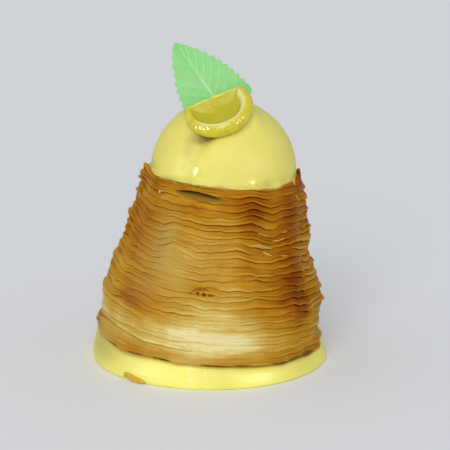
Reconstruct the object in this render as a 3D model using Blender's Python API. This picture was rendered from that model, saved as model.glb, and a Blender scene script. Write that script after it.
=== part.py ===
"""A sfogliatella served upright: a bell of thin baked layers on a foot of lemon glaze.

The bell leans a little to its right. A glazed sponge dome sits in its rim, and a
candied lemon slice and a leaf stand on the dome. Metres, +Z up, the front is -Y, and
the origin is the middle of the foot's flat underside.
"""

import math

import bpy
from mathutils import Vector, noise

# The bell: a solid of stacked layers, in its own leaning frame
SHELL_HEIGHT = 0.0475
SHELL_BASE_RADIUS = 0.0328
SHELL_RIM_RADIUS = 0.0230
SHELL_TAPER_POWER = 1.15
RIM_SHIFT = 0.0011
SHELL_BASE = Vector((-0.0008, 0.0, 0.0071))
LEAN = math.radians(4.3)
SHELL_SIDES = 72

# The layers: each one's lower lip stands proud of the layer under it, and its line climbs
# to the left, which leaves the lowest layer a broad plain band there
LAYER_COUNT = 25
LIP_OUT = 0.00035
CREASE_IN = 0.00055
LIP_SHARE = 0.30
LIP_UNEVEN = 0.5
LAYER_JITTER = 0.00018
LAYER_TILT = 0.0029
LAYER_TILT_POWER = 0.6
UNEVEN_ROUND = 2.2
UNEVEN_UP = 260.0
UNEVEN_SEED = Vector((7.3, 1.9, 4.1))
RIPPLES = (
    # angle from the front, half-spread, middle height, half-height, rise
    (18.0, 9.0, 0.0370, 0.0110, 0.00085),
    (33.0, 9.0, 0.0340, 0.0120, -0.00105),
    (52.0, 10.0, 0.0330, 0.0130, 0.00090),
    (-28.0, 8.0, 0.0340, 0.0080, 0.00080),
    (-41.0, 9.0, 0.0330, 0.0080, -0.00080),
    (150.0, 14.0, 0.0260, 0.0140, 0.00090),
    (195.0, 16.0, 0.0300, 0.0140, -0.00080),
    (240.0, 14.0, 0.0220, 0.0140, 0.00090),
)

# Where the bell's side is fuller or slacker than its taper
BULGES = (
    # angle from the front, half-spread, middle height, half-height, out
    (-88.0, 45.0, 0.0380, 0.0110, -0.0010),
    (-86.0, 32.0, 0.0058, 0.0030, -0.0013),
    (88.0, 40.0, 0.0130, 0.0070, 0.0009),
    (-88.0, 40.0, 0.0150, 0.0040, 0.0004),
    (180.0, 40.0, 0.0240, 0.0120, 0.0004),
)

# Curled bits of the rim that stand up outside the glaze
RIM_CURLS = (
    # angle from the front, half-spread, rise
    (-84.0, 9.0, 0.0021),
    (82.0, 12.0, 0.0019),
    (170.0, 14.0, 0.0012),
)
RIM_WALL = 0.0011
SEAT_DEPTH = 0.0009
SEAT_SLOPE = 0.0003

# The slit between two layers high on the front
SLIT_ANGLE = -19.0
SLIT_HALF_ANGLE = 19.0
SLIT_HEIGHT = 0.0448
SLIT_HALF_HEIGHT = 0.0016
SLIT_DEPTH = 0.0016

# The glazed dome, centred on the same leaning axis
DOME_RADIUS = 0.0211
DOME_CENTRE = Vector((RIM_SHIFT, 0.0, 0.0485))
DOME_SKIRT = (
    # radius, height: the drip edge of the glaze
    (0.0206, 0.0470),
    (0.0214, 0.0475),
    (0.0214, 0.0485),
)
DOME_SKIRT_UNEVEN = 0.0002
DOME_FIRST_RING = math.radians(6.0)
DOME_LAST_RING = math.radians(86.0)
DOME_SIDES = 44
DOME_RINGS = 17
DOME_SWELLS = (
    # angle from the front, elevation, half-spread, height
    (18.0, 63.0, 15.0, 0.0017),
    (-16.0, 33.0, 9.0, -0.0007),
    (-30.0, 10.0, 14.0, 0.0002),
)

# The foot of set glaze under the bell
FOOT_RADIUS = 0.0348
FOOT_NARROWER = 0.0013
FOOT_UNEVEN = 0.0002
FOOT_SIDES = 64
GAP = 0.0003
FOOT_PROFILE = (
    # share of the height, how far inside the full radius
    (0.00, 0.0007),
    (0.05, 0.0002),
    (0.14, 0.0),
    (0.32, 0.0002),
    (0.54, 0.0006),
    (0.76, 0.0010),
    (0.92, 0.0011),
    (1.00, 0.0016),
)

# The candied slice: more than half a round by this angle at each end, dished on its face
SLICE_RADIUS = 0.0093
SLICE_PAST_HALF = math.radians(25.0)
SLICE_THICKNESS = 0.0040
SLICE_CENTRE = Vector((0.0022, -0.0123, 0.0764))
SLICE_FACING = Vector((-0.230, -0.571, 0.788))
SLICE_CHORD = Vector((0.925, 0.124, 0.360))
SLICE_PROFILE = (
    # scale of the outline, depth behind the face as a share of the thickness
    (0.35, 1.00),
    (0.68, 1.00),
    (0.93, 1.00),
    (1.00, 0.85),
    (1.05, 0.55),
    (1.03, 0.175),
    (0.985, 0.0),
    (0.93, 0.025),
    (0.85, 0.125),
    (0.45, 0.175),
)
SLICE_CHORD_BOW = 0.0003
SLICE_ARC_POINTS = 27
SLICE_CHORD_POINTS = 13

# The leaf: broad, toothed, standing behind the slice
LEAF_LENGTH = 0.0231
LEAF_HALF_WIDTH = 0.0100
LEAF_THICKNESS = 0.0008
LEAF_BASE = Vector((0.0036, -0.0060, 0.0746))
LEAF_FACING = Vector((0.03, -0.955, 0.28))
LEAF_SWING = math.radians(36.2)
LEAF_TEETH = 11
LEAF_TOOTH = 0.00055
LEAF_COLUMNS = 12
LEAF_FOOT_SHARE = 0.155
LEAF_SEARCH_STEP = 0.004
LEAF_WAVE = 0.0005
LEAF_CURL = 0.0004
LEAF_RIB_DEPTH = 0.0003
LEAF_RIB_HALF_WIDTH = 0.07
LEAF_VEIN_HEIGHT = 0.00008
LEAF_VEINS = 5.0
LEAF_VEIN_SLANT = 2.2

# Colours, roughness
PASTRY = ((0.50, 0.27, 0.055), 0.45)
DOME_GLAZE = ((0.80, 0.72, 0.20), 0.22)
FOOT_GLAZE = ((0.86, 0.80, 0.22), 0.28)
CANDIED = ((0.52, 0.46, 0.03), 0.25)
LEAF_GREEN = ((0.30, 0.72, 0.26), 0.5)


def clear_scene():
    for thing in list(bpy.data.objects):
        bpy.data.objects.remove(thing, do_unlink=True)


def finish(name, look):
    """A Principled material of one colour and roughness."""
    colour, roughness = look
    material = bpy.data.materials.new(name)
    material.use_nodes = True
    shader = material.node_tree.nodes["Principled BSDF"]
    shader.inputs["Base Color"].default_value = (*colour, 1.0)
    shader.inputs["Roughness"].default_value = roughness
    return material


def solid(name, points, faces, look):
    """A named smooth-shaded object from points and faces."""
    mesh = bpy.data.meshes.new(name)
    mesh.from_pydata([tuple(point) for point in points], [], faces)
    mesh.validate()
    mesh.shade_smooth()
    mesh.set_sharp_from_angle(angle=math.radians(40.0))
    mesh.materials.append(finish(name, look))
    thing = bpy.data.objects.new(name, mesh)
    bpy.context.scene.collection.objects.link(thing)
    return thing


def stack(rings, lowest, highest):
    """Points and faces of a closed solid through rings, from the lowest pole to the highest."""
    sides = len(rings[0])
    points = [point for ring in rings for point in ring] + [lowest, highest]
    low_pole = len(points) - 2
    high_pole = len(points) - 1
    last = (len(rings) - 1) * sides
    faces = []
    for side in range(sides):
        after = (side + 1) % sides
        faces.append((low_pole, after, side))
        for ring in range(len(rings) - 1):
            start = ring * sides
            faces.append((start + side, start + after, start + sides + after, start + sides + side))
        faces.append((high_pole, last + side, last + after))
    return points, faces


def leaned(across, depth, height):
    """A point of the bell's leaning frame, in the part's frame."""
    x = SHELL_BASE.x + across * math.cos(LEAN) + height * math.sin(LEAN)
    z = SHELL_BASE.z - across * math.sin(LEAN) + height * math.cos(LEAN)
    return Vector((x, depth, z))


def around(angle, radius, height):
    """A point of the bell at an angle from the front, towards +X; its rim sits a little to +X."""
    shift = RIM_SHIFT * height / SHELL_HEIGHT
    return leaned(shift + radius * math.sin(angle), -radius * math.cos(angle), height)


def angle_between(angle, degrees):
    """The angle past a direction given in degrees, between -180 and 180 degrees."""
    return (math.degrees(angle) - degrees + 180.0) % 360.0 - 180.0


def hill(distance, spread):
    """A smooth hill, 1 in the middle and almost 0 beyond twice the spread."""
    return math.exp(-((distance / spread) ** 2))


def shell_radius(height):
    share = min(max(height / SHELL_HEIGHT, 0.0), 1.0)
    span = SHELL_BASE_RADIUS - SHELL_RIM_RADIUS
    return SHELL_RIM_RADIUS + span * (1.0 - share**SHELL_TAPER_POWER)


def bulge(angle, height):
    """How far the side stands out from the plain taper at this place."""
    out = 0.0
    for degrees, spread, middle, half, swell in BULGES:
        out += swell * hill(angle_between(angle, degrees), spread) * hill(height - middle, half)
    return out


def layer_rise(angle, height):
    """How far a layer's line runs above its mean height: tilted to the left, with ripples."""
    share = min(max(height / SHELL_HEIGHT, 0.0), 1.0)
    rise = -LAYER_TILT * math.sin(angle) * math.sin(math.pi * share) ** LAYER_TILT_POWER
    for degrees, spread, middle, half, ripple in RIPPLES:
        rise += ripple * hill(angle_between(angle, degrees), spread) * hill(height - middle, half)
    return rise


def slit_depth(angle, height):
    """How deep the open slit between the layers is at this place."""
    across = angle_between(angle, SLIT_ANGLE) / SLIT_HALF_ANGLE
    along = (height - SLIT_HEIGHT) / SLIT_HALF_HEIGHT
    return SLIT_DEPTH * math.sqrt(max(0.0, 1.0 - across * across - along * along))


def relief(angle, height):
    """A slow seeded unevenness, from about -1 to 1, round the bell."""
    round_x = UNEVEN_ROUND * math.sin(angle)
    round_y = UNEVEN_ROUND * math.cos(angle)
    return noise.noise(Vector((round_x, round_y, UNEVEN_UP * height)) + UNEVEN_SEED)


def shell_rings():
    """A lip and a crease for each layer, from the foot of the bell to its rim."""
    angles = [2.0 * math.pi * side / SHELL_SIDES for side in range(SHELL_SIDES)]
    pitch = SHELL_HEIGHT / LAYER_COUNT
    rings = []
    for layer in range(LAYER_COUNT):
        for share, out in ((0.0, LIP_OUT), (1.0 - LIP_SHARE, -CREASE_IN)):
            ring = []
            for angle in angles:
                mean = pitch * (layer + share)
                uneven = relief(angle, mean)
                height = mean + layer_rise(angle, mean)
                if layer:
                    height += LAYER_JITTER * relief(angle + layer, mean)
                swell = out * (1.0 + LIP_UNEVEN * uneven) + bulge(angle, height)
                swell -= slit_depth(angle, height)
                ring.append(around(angle, shell_radius(height) + swell, height))
            rings.append(ring)
    rings.append([around(angle, SHELL_RIM_RADIUS, rim_height(angle)) for angle in angles])
    inner = SHELL_RIM_RADIUS - RIM_WALL
    rings.append([around(angle, inner, rim_height(angle)) for angle in angles])
    seat = SHELL_HEIGHT - SEAT_DEPTH
    rings.append([around(angle, inner - SEAT_SLOPE, seat) for angle in angles])
    return rings


def rim_height(angle):
    """The rim's height, with its curled bits."""
    height = SHELL_HEIGHT
    for degrees, spread, rise in RIM_CURLS:
        height += rise * hill(angle_between(angle, degrees), spread)
    return height


def build_shell():
    lowest = leaned(0.0, 0.0, 0.0)
    highest = leaned(RIM_SHIFT, 0.0, SHELL_HEIGHT - SEAT_DEPTH)
    points, faces = stack(shell_rings(), lowest, highest)
    return solid("shell", points, faces, PASTRY)


def dome_swell(angle, elevation):
    """How far the glaze stands out from the sphere in a direction."""
    swell = 0.0
    for degrees, up, spread, height in DOME_SWELLS:
        turn = math.radians(angle_between(angle, degrees))
        cosine = math.sin(elevation) * math.sin(math.radians(up))
        cosine += math.cos(elevation) * math.cos(math.radians(up)) * math.cos(turn)
        away = math.degrees(math.acos(min(1.0, cosine)))
        swell += height * hill(away, spread)
    return swell


def dome_ring(elevation):
    ring = []
    for side in range(DOME_SIDES):
        angle = 2.0 * math.pi * side / DOME_SIDES
        radius = DOME_RADIUS + dome_swell(angle, elevation)
        out = radius * math.cos(elevation)
        point = leaned(
            DOME_CENTRE.x + out * math.sin(angle),
            -out * math.cos(angle),
            DOME_CENTRE.z + radius * math.sin(elevation),
        )
        ring.append(point)
    return ring


def dome_skirt(radius, height):
    """A ring of the drip edge, a little uneven round the dome."""
    ring = []
    for side in range(DOME_SIDES):
        angle = 2.0 * math.pi * side / DOME_SIDES
        out = radius + DOME_SKIRT_UNEVEN * relief(angle, 0.0)
        point = leaned(DOME_CENTRE.x + out * math.sin(angle), -out * math.cos(angle), height)
        ring.append(point)
    return ring


def build_dome():
    """A sphere standing on a short skirt whose edge is the thick lip of the glaze."""
    rings = [dome_skirt(radius, height) for radius, height in DOME_SKIRT]
    step = (DOME_LAST_RING - DOME_FIRST_RING) / (DOME_RINGS - 1)
    rings += [dome_ring(DOME_FIRST_RING + step * ring) for ring in range(DOME_RINGS)]
    lowest = leaned(DOME_CENTRE.x, 0.0, DOME_SKIRT[0][1])
    top = DOME_CENTRE.z + DOME_RADIUS + dome_swell(0.0, math.radians(90.0))
    highest = leaned(DOME_CENTRE.x, 0.0, top)
    points, faces = stack(rings, lowest, highest)
    return solid("dome", points, faces, DOME_GLAZE)


def foot_radius(angle):
    """The foot's outline: a little wider across than from front to back."""
    narrower = FOOT_NARROWER * math.cos(angle) ** 2
    return FOOT_RADIUS - narrower + FOOT_UNEVEN * math.sin(3.0 * angle)


def foot_top(across):
    """The height of the foot's top, parallel to the leaning bell's base and just under it."""
    return SHELL_BASE.z - GAP - (across - SHELL_BASE.x) * math.tan(LEAN)


def build_foot():
    rings = []
    for share, inside in FOOT_PROFILE:
        ring = []
        for side in range(FOOT_SIDES):
            angle = 2.0 * math.pi * side / FOOT_SIDES
            radius = foot_radius(angle) - inside
            across = radius * math.sin(angle)
            ring.append(Vector((across, -radius * math.cos(angle), share * foot_top(across))))
        rings.append(ring)
    points, faces = stack(rings, Vector((0.0, 0.0, 0.0)), Vector((0.0, 0.0, foot_top(0.0))))
    return solid("foot", points, faces, FOOT_GLAZE)


def off_dome(point):
    """How far a point is outside the dome's glaze."""
    away = point - leaned(DOME_CENTRE.x, 0.0, DOME_CENTRE.z)
    across = away.x * math.cos(LEAN) - away.z * math.sin(LEAN)
    up = away.x * math.sin(LEAN) + away.z * math.cos(LEAN)
    angle = math.atan2(across, -away.y)
    elevation = math.asin(max(-1.0, min(1.0, up / away.length)))
    return away.length - DOME_RADIUS - dome_swell(angle, elevation)


def lifted_off_dome(point, direction, clearance):
    """The point, moved along a direction until it clears the dome's glaze."""
    step = GAP / 4.0
    moved = point.copy()
    while off_dome(moved) < clearance:
        moved = moved + direction * step
    return moved


def slice_outline():
    """The half-round outline, counter-clockwise: the arc, then the straight cut edge."""
    arc = math.pi + 2.0 * SLICE_PAST_HALF
    outline = []
    for step in range(SLICE_ARC_POINTS):
        turn = math.pi - SLICE_PAST_HALF + arc * step / (SLICE_ARC_POINTS - 1)
        outline.append((SLICE_RADIUS * math.cos(turn), SLICE_RADIUS * math.sin(turn)))
    end_x, end_y = outline[-1]
    start_x = outline[0][0]
    for step in range(1, SLICE_CHORD_POINTS - 1):
        share = step / (SLICE_CHORD_POINTS - 1)
        bow = SLICE_CHORD_BOW * math.sin(math.pi * share)
        outline.append((end_x + (start_x - end_x) * share, end_y + bow))
    return outline


def build_slice():
    """Rings of the outline from the underside, round the rind and over the dished face."""
    facing = SLICE_FACING.normalized()
    along = (SLICE_CHORD - facing * SLICE_CHORD.dot(facing)).normalized()
    upward = facing.cross(along)
    outline = slice_outline()
    middle_y = sum(y for _, y in outline) / len(outline)

    def ring(scale, depth):
        points = []
        for x, y in outline:
            flat = along * (x * scale) + upward * (middle_y + (y - middle_y) * scale)
            behind = facing * (depth * SLICE_THICKNESS)
            points.append(lifted_off_dome(SLICE_CENTRE + flat - behind, facing, GAP))
        return points

    rings = [ring(scale, depth) for scale, depth in SLICE_PROFILE]
    centre = SLICE_CENTRE + upward * middle_y
    lowest = centre - facing * (SLICE_PROFILE[0][1] * SLICE_THICKNESS)
    highest = centre - facing * (SLICE_PROFILE[-1][1] * SLICE_THICKNESS)
    points, faces = stack(rings, lifted_off_dome(lowest, facing, GAP), highest)
    return solid("lemon_slice", points, faces, CANDIED)


def leaf_half_width(share):
    """The blade's half-width at a share of its length, 0 at the base and 1 at the tip."""
    if share < 0.0:
        return LEAF_HALF_WIDTH * math.sqrt(max(0.0, 1.0 - (share / LEAF_FOOT_SHARE) ** 2))
    return LEAF_HALF_WIDTH * (1.0 - share**1.9) ** 0.85


def leaf_bow(share, across):
    """How far the blade bows out of its plane: a slow wave, a sunk midrib and raised side veins."""
    wave = LEAF_WAVE * math.sin(3.4 * share + 2.1 * across) + LEAF_CURL * across * across
    rib = -LEAF_RIB_DEPTH * hill(across, LEAF_RIB_HALF_WIDTH)
    turns = LEAF_VEINS * share - LEAF_VEIN_SLANT * abs(across)
    return wave + rib + LEAF_VEIN_HEIGHT * math.cos(2.0 * math.pi * turns)


def leaf_frame():
    """The blade's facing, its direction from base to tip, and its direction across."""
    facing = LEAF_FACING.normalized()
    level = Vector((0.0, 0.0, 1.0)).cross(facing).normalized()
    upright = facing.cross(level)
    axis = upright * math.cos(LEAF_SWING) - level * math.sin(LEAF_SWING)
    return facing, axis, axis.cross(facing)


def leaf_place(share, across, width):
    """A point in the blade's plane; across is -1 at one margin and 1 at the other."""
    _, axis, side = leaf_frame()
    return LEAF_BASE + axis * (share * LEAF_LENGTH) + side * (across * width)


def leaf_foot(across):
    """The share of the length at which the blade comes clear of the dome."""
    share = -LEAF_FOOT_SHARE * math.sqrt(1.0 - (0.92 * across) ** 2)
    clearance = GAP + LEAF_THICKNESS
    while off_dome(leaf_place(share, across, leaf_half_width(share))) < clearance:
        share += LEAF_SEARCH_STEP
    return share


def leaf_points():
    """The blade's front and back points, row by row from the base to the tip."""
    half_thick = leaf_frame()[0] * (LEAF_THICKNESS / 2.0)
    rows = 2 * LEAF_TEETH + 1
    middles = []
    for row in range(rows):
        for column in range(LEAF_COLUMNS + 1):
            across = 2.0 * column / LEAF_COLUMNS - 1.0
            foot = leaf_foot(across)
            share = foot + (1.0 - foot) * row / rows
            width = leaf_half_width(share)
            if abs(across) == 1.0 and row % 2:
                width -= LEAF_TOOTH
            bow = leaf_frame()[0] * leaf_bow(share, across)
            middles.append(leaf_place(share, across, width) + bow)
    middles.append(leaf_place(1.0, 0.0, 0.0) + leaf_frame()[0] * leaf_bow(1.0, 0.0))
    front = [middle + half_thick for middle in middles]
    back = [middle - half_thick for middle in middles]
    return front, back, rows


def build_leaf():
    """Two like faces split into like triangles, joined round their edge."""
    front, back, rows = leaf_points()
    wide = LEAF_COLUMNS + 1
    sheet = []
    for row in range(rows - 1):
        for column in range(LEAF_COLUMNS):
            corner = row * wide + column
            sheet.append((corner, corner + 1, corner + wide + 1))
            sheet.append((corner, corner + wide + 1, corner + wide))
    tip = rows * wide
    last = (rows - 1) * wide
    for column in range(LEAF_COLUMNS):
        sheet.append((last + column, last + column + 1, tip))
    edge = list(range(wide))
    edge += [row * wide + LEAF_COLUMNS for row in range(1, rows)]
    edge.append(tip)
    edge += [row * wide for row in range(rows - 1, 0, -1)]
    behind = len(front)
    faces = [tuple(face) for face in sheet]
    faces += [tuple(behind + corner for corner in reversed(face)) for face in sheet]
    for start, end in zip(edge, edge[1:] + edge[:1]):
        faces.append((end, start, behind + start))
        faces.append((end, behind + start, behind + end))
    return solid("leaf", front + back, faces, LEAF_GREEN)


def build():
    clear_scene()
    build_foot()
    build_shell()
    build_dome()
    build_slice()
    build_leaf()


build()
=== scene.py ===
"""The looks of an upright sfogliatella: layered bell, lemon glaze, candied slice, leaf.

Metres, +Z up, the front is -Y. Every piece stands in its CAD node's place and form, with
the fine shape and the finish that the node leaves out. Angles round the bell are in
degrees from the front, towards +X, and heights run along the bell's leaning axis.
"""

import math

import bpy
import numpy as np
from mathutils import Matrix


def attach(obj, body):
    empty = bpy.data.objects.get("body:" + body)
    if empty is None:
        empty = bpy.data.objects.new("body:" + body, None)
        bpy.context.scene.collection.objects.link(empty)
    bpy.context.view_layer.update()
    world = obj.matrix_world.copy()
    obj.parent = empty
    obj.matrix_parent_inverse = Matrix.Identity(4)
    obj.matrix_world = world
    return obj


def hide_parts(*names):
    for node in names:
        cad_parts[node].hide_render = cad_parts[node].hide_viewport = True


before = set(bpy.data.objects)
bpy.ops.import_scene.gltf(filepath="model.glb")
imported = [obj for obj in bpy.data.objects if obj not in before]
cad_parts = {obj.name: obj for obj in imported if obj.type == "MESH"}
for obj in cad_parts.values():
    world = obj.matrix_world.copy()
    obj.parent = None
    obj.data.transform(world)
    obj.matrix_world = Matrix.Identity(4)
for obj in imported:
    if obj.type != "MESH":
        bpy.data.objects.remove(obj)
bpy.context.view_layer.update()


def in_metres(columns, rows):
    """A table whose given columns are written in millimetres, with them in metres."""
    def value(column, number):
        return round(number / 1000.0, 8) if column in columns else number

    return tuple(tuple(value(*item) for item in enumerate(row)) for row in rows)


# The bell's leaning frame, as in the solids
SHELL_HEIGHT = 0.0475
SHELL_BASE_RADIUS = 0.0328
SHELL_RIM_RADIUS = 0.023
SHELL_TAPER_POWER = 1.15
RIM_SHIFT = 0.0011
SHELL_BASE = (-0.0008, 0.0, 0.0071)
LEAN = math.radians(4.3)
LAYER_COUNT = 25
LAYER_PITCH = SHELL_HEIGHT / LAYER_COUNT
LAYER_TILT_LEFT = 0.0029
LAYER_TILT_RIGHT = 0.0007
LAYER_TILT_POWER = 0.6

# How finely the pieces are meshed
SHELL_SIDES = 352
DOME_SIDES = 256
DOME_RINGS = 150
FOOT_SIDES = 320
SLICE_ARC_POINTS = 150
SLICE_CHORD_POINTS = 56
LEAF_ROWS = 150
LEAF_COLUMNS = 88
STRAND_SIDES = 10
PEBBLE_SIDES = 14
FLAKE_SIDES = 40

# Tables of soft hills on the bell's side: angle, half-spread, height, half-height, amount
RIPPLES = in_metres((2, 3, 4), (
    (19, 9, 38.5, 10, 0.95), (33, 8, 34, 12, -0.85), (51, 9, 33, 13, 0.7), (8, 7, 26, 4, 0.45),
    (-44, 8, 18, 4, 0.4), (26, 8, 16.8, 2.6, 1), (28, 8, 10.5, 2.2, 0.85), (-12, 8, 15, 2.2, 0.55),
    (48, 6, 19, 5, 0.45), (-28, 8, 34, 8, 0.8), (-41, 9, 33, 8, -0.8), (150, 14, 26, 14, 0.9),
    (195, 16, 30, 14, -0.8), (240, 14, 22, 14, 0.9), (-24, 7, 29.2, 1.8, 1.05),
    (10, 8, 31.2, 2.8, 1.1), (21, 6, 23.2, 1.8, 0.65), (-5, 6, 17.8, 1.6, 0.5),
    (-20, 6, 15.8, 1.4, 0.45), (28, 7, 20.5, 1.6, -0.45), (-48, 13, 12.2, 2.4, 1.1),
    (-66, 6, 11.5, 2.2, -0.6), (20, 5, 43.2, 3, 0.4), (-52, 16, 4.2, 1.4, 0.65),
    (-95, 21, 5.2, 3.4, -2.7), (12, 16, 3.6, 1.4, -0.5),
))
BULGES = in_metres((2, 3, 4), (
    (-88, 45, 38, 11, -1), (-86, 32, 5, 1.8, -1.4), (-86, 14, 10, 3.6, 0.6), (-55, 40, 2, 1.8, 0.6),
    (88, 40, 13, 7, 0.9), (-88, 40, 15, 4, 0.4), (180, 40, 24, 12, 0.4), (90, 26, 27, 5, -1.5),
))
# Soft upright folds in the bell's side
FOLDS = in_metres((2, 3, 4), (
    (-22, 9, 29, 12, 0.2), (-37, 4.5, 30, 9, -0.36), (-50, 8, 36, 10, 0.3), (2, 7, 30, 11, -0.2),
    (15, 8, 38, 10, 0.35), (33, 7, 32, 13, -0.45), (48, 7, 29, 15, 0.35), (66, 8, 26, 16, -0.3),
    (10, 16, 7, 6, 0.3), (130, 9, 29, 15, 0.4), (155, 8, 24, 14, -0.4), (205, 9, 32, 13, 0.4),
    (232, 9, 22, 15, -0.35),
))
RELIEF_STRENGTH = 0.72
RELIEF_HILLS = in_metres((2, 3), (
    (8, 26, 7, 6.2, -0.6), (46, 14, 4.5, 4.5, -0.35), (-38, 45, 2, 1.3, -0.62),
    (-45, 32, 4.6, 0.7, 0.75), (-34, 30, 8.5, 3, -0.42), (-46, 18, 12.5, 0.8, 0.65),
    (-82, 11, 9.5, 4.2, -0.66), (19, 9, 42.5, 5, 0.45), (48, 10, 27, 18, 0.2),
    (67, 9, 25, 15, -0.22), (-22, 9, 25, 5, -0.3), (-24, 13, 30.5, 5.5, -0.32),
    (86, 22, 30, 30, 0.8), (-33, 10, 20, 8, -0.25), (0, 40, 16, 6, -0.12),
))

# The bake of the pastry, 0 for cream and 1 for dark brown; one of the hills paints shade, not bake
BAKE = 0.5
BAKE_COLOURS = (
    (0.0, 236, 222, 160), (0.1, 220, 194, 112), (0.22, 204, 166, 74), (0.4, 189, 137, 24),
    (0.6, 160, 92, 0), (0.8, 120, 56, 0), (1.0, 76, 32, 0),
)
BAKE_AND_SHADE_HILLS = in_metres((2, 3), (
    (49, 11, 31, 16, 0.29), (54, 13, 18, 8.5, 0.22), (92, 26, 29, 19, 0.18), (58, 8, 12.5, 3, 0.1),
    # The hill at 20 degrees and 42.5 mm is painted shade under the lips high on the front right
    (20, 13, 42.5, 5, 0.3), (34, 9, 30, 16, 0.03), (32, 8, 14, 4, 0.1), (5, 12, 46, 2, 0.12),
    (-60, 22, 37, 10, 0.16), (5, 9, 23, 4, -0.06), (-28, 17, 6.4, 3.6, -0.18),
    (-50, 12, 15.2, 2.4, 0.14), (-22, 12, 40, 6, 0.14), (-33, 8, 32, 8, -0.18),
    (82, 14, 50, 3, 0.45), (70, 24, 42, 8, 0.12), (-37.5, 1.8, 32.8, 2.6, 0.2),
    (-35.5, 2, 27.5, 1.6, 0.1), (-25, 5, 29.3, 0.3, 0.16), (-20, 9, 24, 5, -0.08),
    (-11, 7, 31.5, 3.5, -0.1), (-8, 7, 20.3, 2.2, 0.14), (8, 26, 6.2, 5.4, -0.66),
    (0, 12, 16, 4.5, -0.24), (9, 12, 13, 3, -0.2), (5, 42, 1, 1.2, 0.02), (66, 16, 7, 5, -0.1),
    (-55, 30, 7, 4.2, -0.22), (-80, 11, 9.5, 4.4, -0.58), (18, 8, 20.5, 3, -0.13),
    (-42, 20, 14, 1.2, 0.16), (-42, 32, 1, 2.2, 0.12), (9, 8, 28.5, 10.5, -0.09),
    (170, 50, 33, 15, 0.22), (190, 40, 6, 6, -0.3),
))
# Where the pastry is a greyer, paler gold
OLIVE_HILLS = in_metres((2, 3), (
    (-33, 9, 31, 9, 0.85), (-44, 18, 25, 12, 0.34), (-21, 9, 24.5, 6, 0.6), (-8, 8, 30, 5, 0.35),
    (-76, 12, 9, 8, 0.8), (-52, 14, 7, 4, 0.4), (-68, 30, 2, 2.2, 0.75), (-40, 9, 18, 4, 0.35),
    (-66, 6, 44, 3, 0.4), (160, 22, 18, 10, 0.5),
))
# Where the pastry is charred; the dark band along the bottom edge, where the bell meets the foot, is
# burnt edge and painted shadow of the gap there
CHAR_AND_GAP_SHADE_HILLS = in_metres((2, 3), (
    (61, 5, 0.3, 0.7, 0.55), (48, 6, 0.1, 0.5, 0.4), (58, 5, 12.5, 1.4, 0.22),
    (0, 60, -0.2, 0.3, 0.35), (215, 12, 0.4, 0.7, 0.6),
))

# One layer from its lower lip up: share of the pitch where it lies flat, the share where it
# hooks over the layer below, and how far out (1 lip, -1 crease)
OVERHANG = (
    (0, 0.035, -0.95), (0.02, -0.03, -0.1), (0.05, -0.01, 0.75), (0.11, 0.07, 1), (0.22, 0.2, 0.85),
    (0.36, 0.35, 0.5), (0.46, 0.47, 0.28), (0.51, 0.495, 0.2), (0.66, 0.66, -0.05),
    (0.82, 0.83, -0.4), (0.93, 0.95, -0.75),
)
# The same layer where it opens upwards, as down the left: its top edge stands out
LEDGE = (
    (0, -0.8), (0.08, -0.85), (0.2, -0.5), (0.34, -0.1), (0.48, 0.2), (0.6, 0.45), (0.7, 0.62),
    (0.8, 0.8), (0.89, 1), (0.95, 0.85), (0.98, -0.1),
)
SECOND_LIP = ((6, -0.65), (7, 0.60))
LIP_OUT = 0.00048
CREASE_IN = 0.0006
STRENGTH_SPREAD = 1.05
LEDGE_ANGLE = -95.0
LEDGE_SPREAD = 32.0
LEDGE_OUT = 2.0
LINE_OUT = 0.00034
SIDE_OUT = 0.0005
LINE_WANDER = 0.00042
LINE_SHAKE = 0.0002
RIPPLE = 0.00042
FINE_RIPPLE = 0.00033
PUFF = 0.00034
BOTTOM_FLARE = 0.0007

# The rim's curled bits: angle, half-spread, rise, how far out
RIM_CURLS = in_metres((2, 3), (
    (-78, 9, 2.5, 0.6), (-94, 5, 0.9, 0.4), (-52, 3, 0.5, 0.3), (-38, 4, 0.3, 0.2),
    (51.5, 6, 1.2, 0.2), (57, 3.6, 1.2, 0.3), (73.5, 3.8, 2.2, -0.3), (82, 5.5, 2.6, -0.6),
    (93, 8, 3, -0.8), (170, 14, 1.2, 0.2), (228, 9, 0.9, 0.3),
))
RIM_WAVE = 0.00022
RIM_SHAKE = 0.00014
# The wall that holds the glaze, how its edge is rounded, and how low the glaze's seat is
RIM_WALL = 0.0011
RIM_ROUNDING = 0.0004
SEAT_DEPTH = 0.0009

# Bits on the side. Strands: from angle and height, to angle and height, sag, half-height
PALE_CHIPS = in_metres((1, 3, 4, 5), (
    (24.5, 36.2, 33.5, 35, 0.2, 0.17), (42.5, 35.8, 47.5, 35.9, -0.1, 0.13),
    (24, 33.2, 35, 31.8, 0.25, 0.24), (28, 31, 35, 29.7, 0.1, 0.26),
    (41, 29.6, 45.5, 29.5, 0.1, 0.14), (27, 38.1, 32.5, 37.2, 0.15, 0.13),
    (35, 33.8, 44, 34.4, 0.2, 0.12), (63, 45.2, 65, 43.6, 0, 0.22),
    (-30, 30.2, -20, 29.1, -0.5, 0.12),
))
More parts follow.
